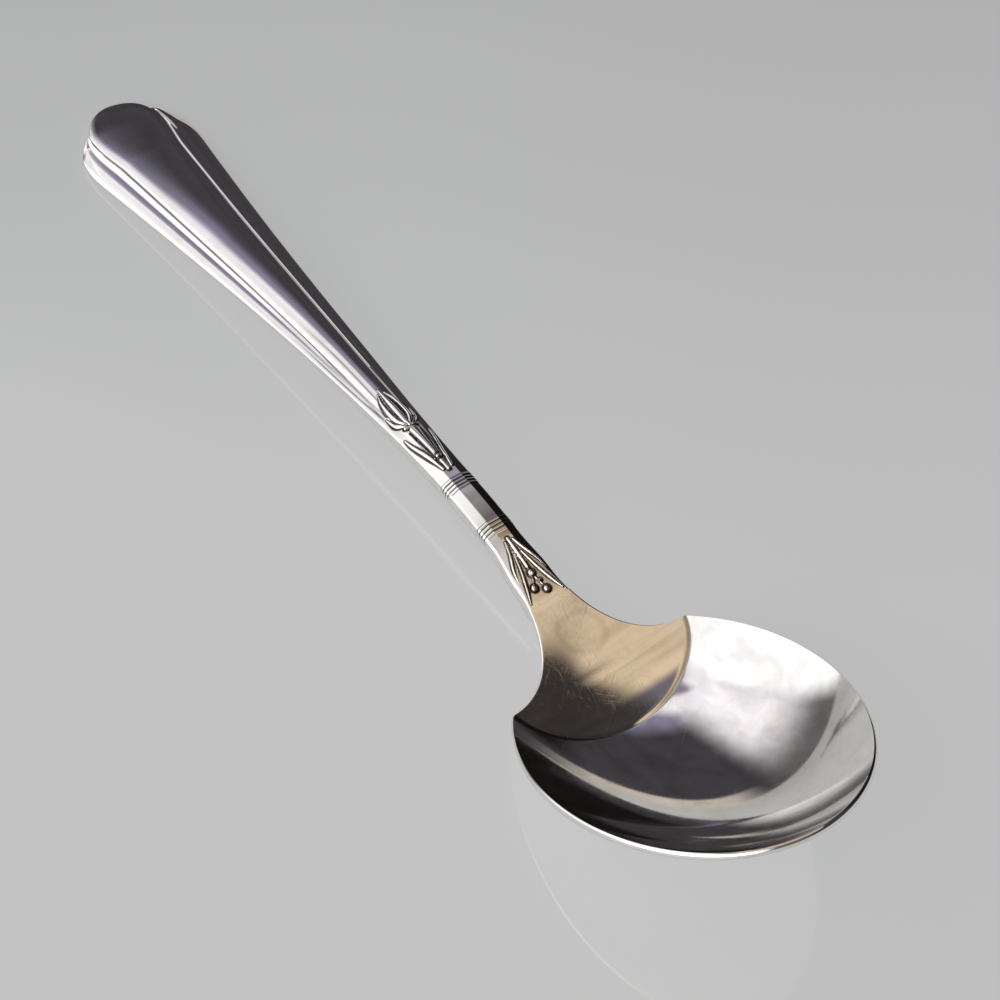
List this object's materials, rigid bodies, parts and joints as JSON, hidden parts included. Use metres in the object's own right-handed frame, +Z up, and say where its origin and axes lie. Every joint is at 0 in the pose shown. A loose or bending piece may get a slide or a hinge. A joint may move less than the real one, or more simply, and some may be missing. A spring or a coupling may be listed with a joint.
{
  "type": "sugar spoon",
  "caption": "Sugar spoon with an oval squared-shoulder bowl, a slim reeded neck and a tapering threaded handle with a lobed end.",
  "frame": {"origin": "middle of the spoon's length and width, on the surface it lies on", "axes": "+X along the spoon from the handle's end to the bowl's tip, +Y across it, +Z up"},
  "size_m": [0.1576, 0.0368, 0.0211],
  "materials": {
    "bowl_silver": "polished silver plate with fine scratches and a little tarnish",
    "handle_silver": "polished silver plate, tarnished in the recesses"
  },
  "bodies": {
    "root": {"bowl": "bowl_silver", "handle": "handle_silver"}
  },
  "joints": []
}
